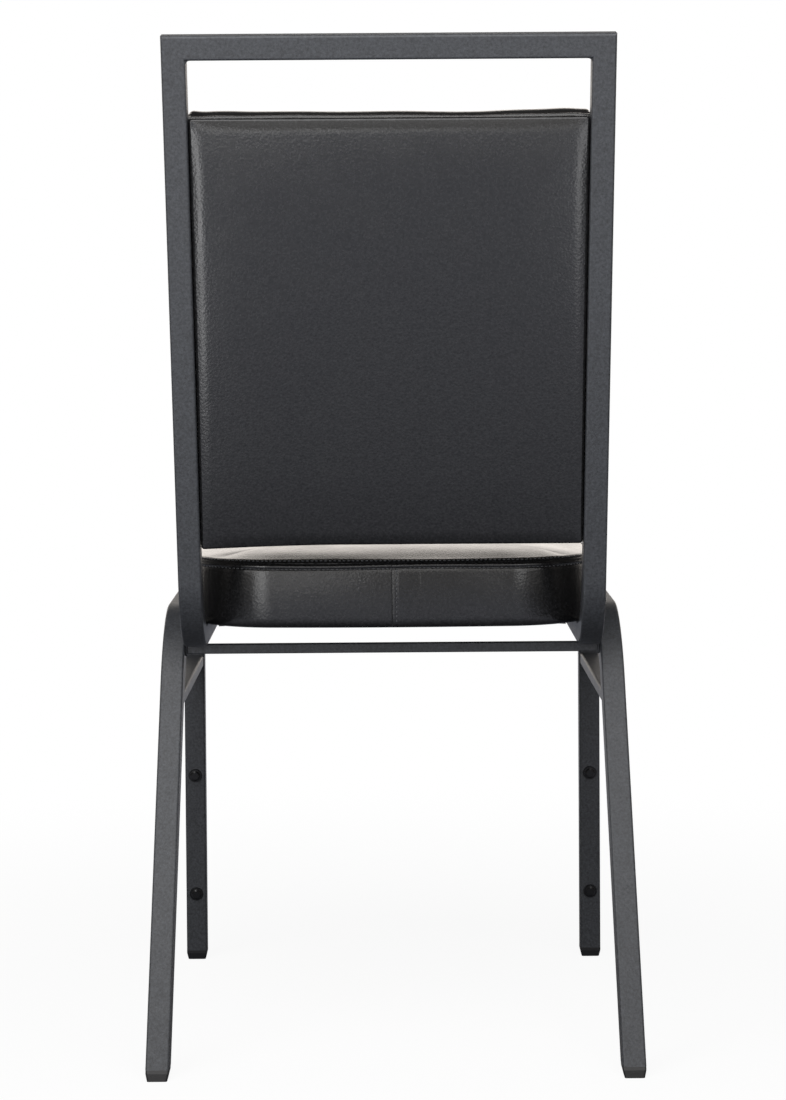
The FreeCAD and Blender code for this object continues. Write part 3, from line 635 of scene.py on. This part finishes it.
def white_floor():
    """White paper sweep: white to the camera but for the chair's soft shadow, white in reflections away from
    the chair, and dull to lamps, so that little light comes back up from it."""
    material, tree, place = new_material("white_paper_sweep")
    material.cycles.emission_sampling = "NONE"
    path = add_node(tree, "ShaderNodeLightPath")
    camera, glossy = path.outputs["Is Camera Ray"], path.outputs["Is Glossy Ray"]
    shade = add_node(tree, "ShaderNodeMix", {"data_type": "FLOAT"}, {0: camera, 2: 0.12, 3: 0.8})
    matt = add_node(tree, "ShaderNodeBsdfDiffuse", inputs={"Color": shade.outputs[0]})
    far = add_node(tree, "ShaderNodeVectorMath", {"operation": "LENGTH"}, {0: place}).outputs["Value"]
    parts = add_node(tree, "ShaderNodeSeparateXYZ", inputs={0: place})
    aside = add_node(tree, "ShaderNodeMath", {"operation": "ABSOLUTE"}, {0: parts.outputs["X"]})
    away = add_node(tree, "ShaderNodeMapRange", SMOOTH, {
        "Value": far, "From Min": SWEEP_FADE[0], "From Max": SWEEP_FADE[1]})
    within = add_node(tree, "ShaderNodeMapRange", SMOOTH, {
        "Value": aside.outputs[0], "From Min": SWEEP_SIDE[0], "From Max": SWEEP_SIDE[1]})
    dimmer = add_node(tree, "ShaderNodeMapRange", SMOOTH, {
        "Value": far, "From Min": SWEEP_FAR[0], "From Max": SWEEP_FAR[1], "To Min": 1.0, "To Max": SWEEP_DIM})
    sweep = add_node(tree, "ShaderNodeMath", TIMES, {
        0: away.outputs[0], 1: within.outputs[0]})
    sweep = add_node(tree, "ShaderNodeMath", TIMES, {
        0: sweep.outputs[0], 1: dimmer.outputs[0]})
    clear = add_node(tree, "ShaderNodeMapRange", SMOOTH, {
        "Value": far, "From Min": SHADOW_FADE[0], "From Max": SHADOW_FADE[1], "To Min": SHADOW_WHITE})
    seen = add_node(tree, "ShaderNodeMath", TIMES, {0: camera, 1: clear.outputs[0]})
    own = add_node(tree, "ShaderNodeMath", {"operation": "MAXIMUM"}, {0: glossy, 1: seen.outputs[0]})
    bright = add_node(tree, "ShaderNodeMix", {"data_type": "FLOAT"}, {0: glossy, 2: 1.0, 3: sweep.outputs[0]})
    tint = add_node(tree, "ShaderNodeMix", {"data_type": "RGBA"}, {0: glossy, 6: WHITE, 7: COOL})
    glow = add_node(tree, "ShaderNodeEmission", inputs={
        "Color": tint.outputs[2], "Strength": bright.outputs[0]})
    mixed = add_node(tree, "ShaderNodeMixShader", inputs={
        0: own.outputs[0], 1: matt.outputs[0], 2: glow.outputs[0]})
    add_node(tree, "ShaderNodeOutputMaterial", inputs={"Surface": mixed.outputs[0]})
    return material


def add_lamp(name, at, to, size, power):
    """Rectangular soft lamp at a point, facing another."""
    lamp = bpy.data.lights.new(name, "AREA")
    lamp.shape = "RECTANGLE"
    lamp.size, lamp.size_y = size
    lamp.energy = power
    holder = bpy.data.objects.new(name, lamp)
    holder.location = at
    holder.rotation_euler = (Vector(to) - Vector(at)).to_track_quat("-Z", "Y").to_euler()
    bpy.context.scene.collection.objects.link(holder)


def add_camera(scene, stage):
    """Camera at its place: looking along -Y, then turned by yaw, pitched down, and rolled."""
    camera = bpy.data.cameras.new("camera")
    camera.sensor_fit = "VERTICAL"
    camera.sensor_height = 36
    camera.lens = stage.lens
    holder = bpy.data.objects.new("camera", camera)
    scene.collection.objects.link(holder)
    forward = Vector((math.sin(stage.yaw), -math.cos(stage.yaw), 0))
    right = Vector((-math.cos(stage.yaw), -math.sin(stage.yaw), 0))
    up = Vector((0, 0, 1))
    look = math.cos(stage.pitch) * forward - math.sin(stage.pitch) * up
    top = math.sin(stage.pitch) * forward + math.cos(stage.pitch) * up
    side = math.cos(stage.roll) * right + math.sin(stage.roll) * top
    top = math.cos(stage.roll) * top - math.sin(stage.roll) * right
    turn = Matrix((side, top, -look)).transposed()
    holder.matrix_world = Matrix.Translation(stage.camera_at) @ turn.to_4x4()
    scene.camera = holder


# Operators


class CHAIR_OT_frame(bpy.types.Operator):
    """Powder coat the tube frame"""

    bl_idname = "chair.frame"
    bl_label = "Frame"

    def execute(self, context):
        coat = powder_coat(context.scene.chair_finish)
        coat_nodes(coat, "_frame", "_rail", "_welds", "_stretcher", "_cross_bar", "_tabs")
        return {"FINISHED"}


class CHAIR_OT_welds(bpy.types.Operator):
    """Weld the ends of the rear cross bar to the legs"""

    bl_idname = "chair.welds"
    bl_label = "Cross bar welds"

    def execute(self, context):
        steel = bpy.data.materials["powder_coated_steel"]
        low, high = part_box("rear_cross_bar")
        from_end, pitch, ripple, radius = 0.8 * MM, 1.7 * MM, 3 * MM, 1.7 * MM
        # Down the bar's rear face, along its underside and up its front face, one weld ripple after another
        path = np.array([(high.y, high.z), (high.y, low.z), (low.y, low.z), (low.y, high.z)])
        count = int(length_of(path) / pitch)
        places = at_shares(path, (np.arange(count) + 0.5) / count)
        for side, x in (("left", high.x - from_end), ("right", low.x + from_end)):
            middles = np.column_stack([np.full(count, x), places])
            along = unit(np.gradient(middles, axis=0))
            points, faces = beads(middles, along, np.broadcast_to(SIDEWAYS, along.shape), ripple, radius)
            settle(make_piece(f"{side}_cross_bar_weld", points, faces, steel))
        return {"FINISHED"}


class CHAIR_OT_small_parts(bpy.types.Operator):
    """Finish glides, caps, bumpers and fasteners"""

    bl_idname = "chair.small_parts"
    bl_label = "Small parts"

    def execute(self, context):
        colours = context.scene.chair_finish
        plastic = moulded("moulded_black_polypropylene", colours.plastic, 0.5, 0.8)
        coat_nodes(plastic, "_glide", "_cap", "_clips")
        rubber = moulded("moulded_black_rubber", colours.rubber, 0.3, 1.5)
        coat_nodes(rubber, "_bumpers")
        coat_nodes(plywood(), "_board")
        coat_nodes(zinc(), "_screws", "_tnuts")
        return {"FINISHED"}


class CHAIR_OT_seat(bpy.types.Operator):
    """Sew and fill the seat cushion"""

    bl_idname = "chair.seat"
    bl_label = "Seat cushion"

    def execute(self, context):
        sizes = context.scene.chair_seat
        cover = vinyl(context.scene.chair_finish)
        low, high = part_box("seat_side_band")
        corners = [(high.x, high.y), (-high.x, high.y), (-high.x, low.y), (high.x, low.y)]
        radii = [sizes.rear_corner, sizes.rear_corner, sizes.front_corner, sizes.front_corner]
        rear_bulge, sag, sway = 4 * MM, 2.5 * MM, 0.6 * MM
        crown, crown_reach = 7 * MM, 125 * MM
        edge, edge_reach, edge_inset = 4.6 * MM, 7 * MM, 2.4 * MM
        roll, roll_inset, under_inset = 7 * MM, 0.5 * MM, 22 * MM
        # From the top down: the top's round edge; as pairs of depth and inset, the seam's groove, a lap, the
        # stitches' groove and the filled band; and a roll to the underside
        start = math.atan(2 * crown / crown_reach * edge_reach / edge)
        round_off = np.linspace(start, math.pi / 2, 9)
        depth, drawn = np.array([
            (0.5, 1.1), (1.2, 0.3), (2.4, 0.1), (3.8, 0.3), (4.6, 1.4), (5.4, 0.3), (7, 0), (10, -0.1),
            (14, -0.25), (19, -0.4), (25, -0.5), (31, -0.5), (37, -0.4), (43, -0.25), (48, 0), (52, 0.2),
            (55, 0.4)]).T * MM
        turn = np.linspace(0, math.pi / 2, 5)[1:]
        height = np.concatenate([
            high.z + edge * np.cos(round_off), high.z - depth, low.z + roll * (1 - np.sin(turn)), [low.z]])
        inset = np.concatenate([
            edge_inset + edge_reach * (1 - np.sin(round_off)), drawn, roll_inset + roll * (1 - np.cos(turn)),
            [under_inset]])
        form = Pillow(corners, radii, [-rear_bulge, sag, sag, sag], inset, height,
                      swelling((crown, crown_reach)), False)

        # The rows round the seam sway a little; they and the underside are held while the cover is filled
        seam = len(round_off) - 1
        sewn = form.rows[seam - 1:seam + 7]
        wave = noise_along(form.rows.shape[1], seed=3, waves=(3, 5, 7, 11, 16), size=sway)
        form.points[sewn.ravel(), 2] += np.tile(wave, len(sewn))
        held = np.concatenate([sewn.ravel(), np.arange(form.rows[-5:].min(), len(form.points))])
        piece = fill("seat_cushion", form.points, form.faces, cover, held, sizes.pressure, cap=1.2 * MM)
        table = points_of(piece)[form.rows]
        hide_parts("seat_side_band", "seat_top_cover", "seat_foam")
        below = seam + 1 + int(np.argmin(abs(depth - sizes.stitch_below)))
        self.stitch(context, table, sizes, (seam - 4, below))
        self.lap(table[seam:], cover, len(depth) + len(turn))
        return {"FINISHED"}

    def stitch(self, context, table, sizes, rows):
        """Rows of stitches round the seat on both sides of its seam, and one down the rear seam's lap."""
        thread = moulded("spun_polyester_thread", context.scene.chair_finish.thread, 0.4, 0.4)
        length, thick = 2.5 * MM, 0.55 * MM
        sewn = []
        # The upper row lies on the top's round edge, so its stitches lean upwards
        for row, lift, lean in zip(rows, (0.35 * MM, 0.8 * MM), (0.8, 0)):
            loop = np.vstack([table[row], table[row, :1]])
            count = int(length_of(loop) / sizes.stitch_pitch)
            middles = at_shares(loop, np.arange(count) / count)
            along = unit(np.roll(middles, -1, 0) - np.roll(middles, 1, 0))
            out = unit(unit(np.cross(along, UPWARDS)) + lean * UPWARDS)
            sewn.append(beads(middles + lift * out, along, out, length, thick))
        beside_seam, lap_lift, first, last = 4.2 * MM, 1.45 * MM, 0.03, 0.98
        quarter = table.shape[1] // 4
        column = np.interp(beside_seam, -table[rows[1], :quarter, 0], np.arange(quarter))
        path = across(table, column)[rows[1] + 1:-4]
        middles = at_shares(path, np.arange(first, last, sizes.stitch_pitch / length_of(path)))
        along = unit(np.gradient(middles, axis=0))
        out = unit(np.cross(along, SIDEWAYS))
        out *= np.sign(out[:, 1:2])
        sewn.append(beads(middles + lap_lift * out, along, out, length, thick))
        names = ("seat_top_stitches", "seat_band_stitches", "rear_seam_stitches")
        for name, (points, faces) in zip(names, sewn):
            settle(make_piece(name, points, faces, thread))

    def lap(self, table, cover, last_row):
        """Lapped edge of the band's rear seam: a closed profile, steep at its edge, carried down the band."""
        profile = np.array([
            (0.9, -0.3), (0.5, 0.3), (0, 0.95), (-0.3, 1.15), (-0.9, 1.27), (-1.7, 1.4), (-2.4, 1.5),
            (-3.2, 1.45), (-4.2, 1.0), (-5.2, 1.4), (-8, 1.3), (-14, 0.95), (-22, 0.45), (-30, -0.1),
            (-30, -0.5), (-4, -0.5)]) * MM
        quarter = table.shape[1] // 4
        columns = np.interp(-profile[:, 0], -table[0, :quarter, 0], np.arange(quarter))
        points = np.stack([across(table, column)[1:last_row] for column in columns], 1)
        points[..., 1] += profile[:, 1]
        number = np.arange(points.shape[0] * points.shape[1]).reshape(points.shape[:2])
        faces = quads_of(number, True).tolist() + [number[0, ::-1].tolist(), number[-1].tolist()]
        settle(make_piece("rear_seam_lap", points, faces, cover), 1)


class CHAIR_OT_back(bpy.types.Operator):
    """Fill the front cushion of the back"""

    bl_idname = "chair.back"
    bl_label = "Back cushion"

    def execute(self, context):
        low, high = extent("back_front_cover", SIDEWAYS, UP_BACK, FORWARD)
        edge, edge_reach = 6 * MM, 11 * MM
        crown, crown_reach = 5 * MM, 110 * MM
        rim_below, least, bevel_inset, under_inset = 12 * MM, 0.1 * MM, 3.6 * MM, 24 * MM
        # From the front down its sides, as pairs of depth and inset: the edge's roll, the filled middle, a
        # level strip, and a bevel at the rear
        depth, inset = np.array([
            (0, 2), (0.6, 0.9), (1.6, -0.3), (4, -1.2), (8, -1.9), (13, -2.3), (18, -2.3), (22, -1.8),
            (25, -1.1), (27.5, -0.3), (29.5, 0.3), (31.5, 0.6), (34, 0.7), (36.5, 0.75), (37.8, 0.85),
            (38, 1.0), (38.9, 2.5), (39.1, 2.9)]).T * MM
        height = np.concatenate([
            np.maximum(high[2] - rim_below - depth, low[2] + least), [low[2], low[2]]])
        inset = np.concatenate([inset, [bevel_inset, under_inset]])
        rise = swelling((edge, edge_reach), (crown, crown_reach))
        corners = tapered(high[0], high[1], low[1])
        form = Pillow(corners, [BACK_CORNER] * 4, [BACK_SAG] * 4, inset, height, rise, True)

        # Its top is a little uneven
        lift, sway = 0.3 * MM, 0.6 * MM
        top = form.rows[:-1, :form.rows.shape[1] // 4]
        wave = noise_along(4 * top.shape[1], seed=8, waves=(6, 9, 14, 22), size=sway)[:top.shape[1]]
        form.points[top.ravel(), 1] += np.tile(wave + lift, len(top))
        # The front of its top is drawn down, less at both ends
        strip, slope, drop, less = 36.5 * MM, 10 * MM, 2.6 * MM, 1.6 * MM
        front = np.clip((strip - depth) / slope, 0, 1)[:, None]
        end = np.clip(2 * abs(form.points[top[0], 0]) / high[0] - 1, 0, 1)
        form.points[top[:len(depth)], 1] -= front * (drop - less * end)
        # The rear part of its sides fills out towards the uprights, most at the top corners
        first_row, corner_reach, wider, corners_wider = 9, 40 * MM, 0.004, 0.021
        rear = form.rows[first_row:].ravel()
        near_top = np.clip(1 - (high[1] - form.points[rear, 1]) / corner_reach, 0, 1)
        form.points[rear, 0] *= 1 + wider + corners_wider * near_top

        cover, pressure = bpy.data.materials["black_upholstery_vinyl"], context.scene.chair_seat.pressure
        points = placed(form.points, SIDEWAYS, UP_BACK, FORWARD)
        held = np.concatenate([form.rows.ravel(), np.arange(form.rows.max(), len(points))])
        piece = fill("back_cushion", points, form.faces, cover, held, pressure, cap=2 * MM)
        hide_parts("back_front_cover", "back_foam")
        return {"FINISHED"}


class CHAIR_OT_rear_panel(bpy.types.Operator):
    """Wrap the rear panel of the back"""

    bl_idname = "chair.rear_panel"
    bl_label = "Rear panel"

    def execute(self, context):
        low, high = extent("rear_panel_cover", SIDEWAYS, UP_BACK, -FORWARD)
        wider, top_gap, bottom_gap = 0.9 * MM, 0.8 * MM, 2.2 * MM
        right, top, bottom = high[0] + wider, high[1] - top_gap, low[1] + bottom_gap
        crown, crown_reach = 1.8 * MM, 70 * MM
        shoulder, shoulder_reach = 1.5 * MM, 12 * MM
        # From the rear down its sides: a round edge this wide and deep, level sides, and the underside
        wide, deep, side_depth, foot = 2.6 * MM, 4 * MM, 6.5 * MM, 0.4 * MM
        rim = high[2] - crown - shoulder
        rise = swelling((crown, crown_reach), (shoulder, shoulder_reach))
        slope = 2 * crown / crown_reach + 2 * shoulder / shoulder_reach
        turn = np.linspace(math.atan(slope * wide / deep), math.pi / 2, 8)
        inset = np.concatenate([wide * (1 - np.sin(turn)), [0.3 * MM, 0.9 * MM, 14 * MM]])
        height = np.concatenate([
            rim - deep * (1 - np.cos(turn)), [rim - side_depth, low[2] + foot, low[2]]])
        corners = tapered(right, top, bottom)
        form = Pillow(corners, [BACK_CORNER] * 4, [BACK_SAG] * 4, inset, height, rise, True)

        # The cover's lower edge hangs a little at its left end
        hang, hang_reach, start, bend = 3.6 * MM, 70 * MM, 0.3, 1.6
        left = np.clip((form.points[:, 0] / right - start) / (1 - start), 0, 1)
        near = np.clip(1 - (form.points[:, 1] - bottom) / hang_reach, 0, 1)
        form.points[:, 1] -= hang * left ** bend * near
        cover, pressure = bpy.data.materials["black_upholstery_vinyl"], context.scene.chair_seat.pressure
        points = placed(form.points, SIDEWAYS, UP_BACK, -FORWARD)
        held = np.arange(form.rows[-4:].min(), len(points))
        piece = fill("rear_panel", points, form.faces, cover, held, pressure, cap=0.8 * MM)
        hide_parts("rear_panel_cover", "rear_panel_foam")
        return {"FINISHED"}


class CHAIR_OT_dust_cloth(bpy.types.Operator):
    """Staple the dust cloth under the seat"""

    bl_idname = "chair.dust_cloth"
    bl_label = "Dust cloth"

    def execute(self, context):
        low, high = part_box("seat_dust_cover")
        side = 65
        below, sag, ripple, ripples, flattest = 0.4 * MM, 1.2 * MM, 0.5 * MM, 18, 0.3 * MM
        # It sags between its edges, and ripples along them
        x, y = np.meshgrid(np.linspace(low.x, high.x, side), np.linspace(low.y, high.y, side), indexing="ij")
        u, v = 2 * (x - low.x) / (high.x - low.x) - 1, 2 * (y - low.y) / (high.y - low.y) - 1
        wave = np.cos(ripples * math.pi * np.where(abs(u) > abs(v), v, u) / 2)
        edge = ripple * np.maximum(abs(u), abs(v)) ** 6 * wave
        z = low.z - below - sag * (1 - u ** 2) * (1 - v ** 2) + np.minimum(edge, flattest)
        faces = quads_of(np.arange(side * side).reshape(side, side), False).tolist()
        piece = make_piece("dust_cloth", np.dstack([x, y, z]), faces, non_woven())
        settle(piece)
        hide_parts("seat_dust_cover")
        self.staple(low, high)
        return {"FINISHED"}

    def staple(self, low, high):
        """Staples round the cloth: short bright wires at even steps along a loop set in from its edge."""
        steel = bpy.data.materials["zinc_plated_steel"]
        inset, pitch, crown, wire, drop = 8 * MM, 42 * MM, 10 * MM, 0.5 * MM, 0.7 * MM
        right, left, rear, front = high.x - inset, low.x + inset, high.y - inset, low.y + inset
        loop = np.array([(right, rear), (left, rear), (left, front), (right, front), (right, rear)])
        count = int(length_of(loop) / pitch)
        shares = (np.arange(count) + 0.5) / count
        near = 0.001
        middles = np.column_stack([at_shares(loop, shares), np.full(count, low.z - drop)])
        turn = at_shares(loop, shares + near) - at_shares(loop, shares - near)
        along = unit(np.column_stack([turn, np.zeros(count)]))
        points, faces = beads(middles, along, np.broadcast_to(UPWARDS, along.shape), crown, wire)
        settle(make_piece("dust_cloth_staples", points, faces, steel))


class CHAIR_OT_stage(bpy.types.Operator):
    """White floor, studio lamps and the camera behind the chair"""

    bl_idname = "chair.stage"
    bl_label = "Stage"

    def execute(self, context):
        scene = context.scene
        stage = scene.chair_stage
        scene.view_settings.view_transform = "Standard"
        white_world(scene)
        reach = 6.0
        corners = np.array([(-reach, -reach, 0), (reach, -reach, 0), (reach, reach, 0), (-reach, reach, 0)])
        floor = make_piece("floor", corners, [(0, 1, 2, 3)], white_floor())
        # Each lamp's name, place, the point it faces, size and power
        lamps = (
            ("key_lamp", (0.2, 1.1, 2.05), (0, 0.2, 0.6), (2.2, 1.6), stage.key),
            ("fill_lamp", (0.45, 3.0, 0.46), (0, 0.2, 0.45), (0.35, 0.3), stage.fill),
            ("upper_lamp", (0, 1.3, 1.17), (0, 0.25, 0.85), (1.2, 0.45), stage.edge * 0.4),
            ("sheen_lamp", (0, 1.5, 0.72), (0, 0.3, 0.88), (0.7, 0.12), stage.edge * 0.22),
            ("left_edge_lamp", (0.56, 1.15, 0.56), (0.15, 0.25, 0.72), (0.2, 0.6), stage.edge * 0.55),
            ("right_edge_lamp", (-0.5, 1.15, 0.64), (-0.15, 0.25, 0.74), (0.22, 0.42), stage.edge * 0.26),
            ("left_lamp", (1.7, 1.8, 1.5), (0, 0.2, 0.9), (1.3, 1.7), stage.side * 1.3),
            ("right_lamp", (-1.7, 1.8, 1.5), (0, 0.2, 0.9), (1.3, 1.7), stage.side * 0.75))
        for lamp in lamps:
            add_lamp(*lamp)
        add_camera(scene, stage)
        return {"FINISHED"}


class CHAIR_PT_panel(bpy.types.Panel):
    """Lists the chair's pieces in the sidebar"""

    bl_idname = "CHAIR_PT_panel"
    bl_label = "Banquet chair"
    bl_space_type = "VIEW_3D"
    bl_region_type = "UI"
    bl_category = "Chair"

    def draw(self, context):
        for operator in OPERATORS:
            self.layout.operator(operator.bl_idname)


GROUPS = {"chair_finish": ChairFinish, "chair_seat": SeatSizes, "chair_stage": StageSettings}
OPERATORS = (
    CHAIR_OT_frame, CHAIR_OT_welds, CHAIR_OT_small_parts, CHAIR_OT_seat, CHAIR_OT_back, CHAIR_OT_rear_panel,
    CHAIR_OT_dust_cloth, CHAIR_OT_stage)
CLASSES = (*GROUPS.values(), *OPERATORS, CHAIR_PT_panel)


def register():
    """Register the classes and hang the settings on the scene."""
    for kind in CLASSES:
        bpy.utils.register_class(kind)
    for name, group in GROUPS.items():
        setattr(bpy.types.Scene, name, PointerProperty(type=group))


def unregister():
    """Take the settings off the scene and unregister the classes."""
    for name in GROUPS:
        delattr(bpy.types.Scene, name)
    for kind in reversed(CLASSES):
        bpy.utils.unregister_class(kind)


def main():
    """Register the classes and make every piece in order."""
    register()
    bpy.ops.chair.frame()
    bpy.ops.chair.welds()
    bpy.ops.chair.small_parts()
    bpy.ops.chair.seat()
    bpy.ops.chair.back()
    bpy.ops.chair.rear_panel()
    bpy.ops.chair.dust_cloth()
    bpy.ops.chair.stage()


if __name__ == "__main__":
    main()
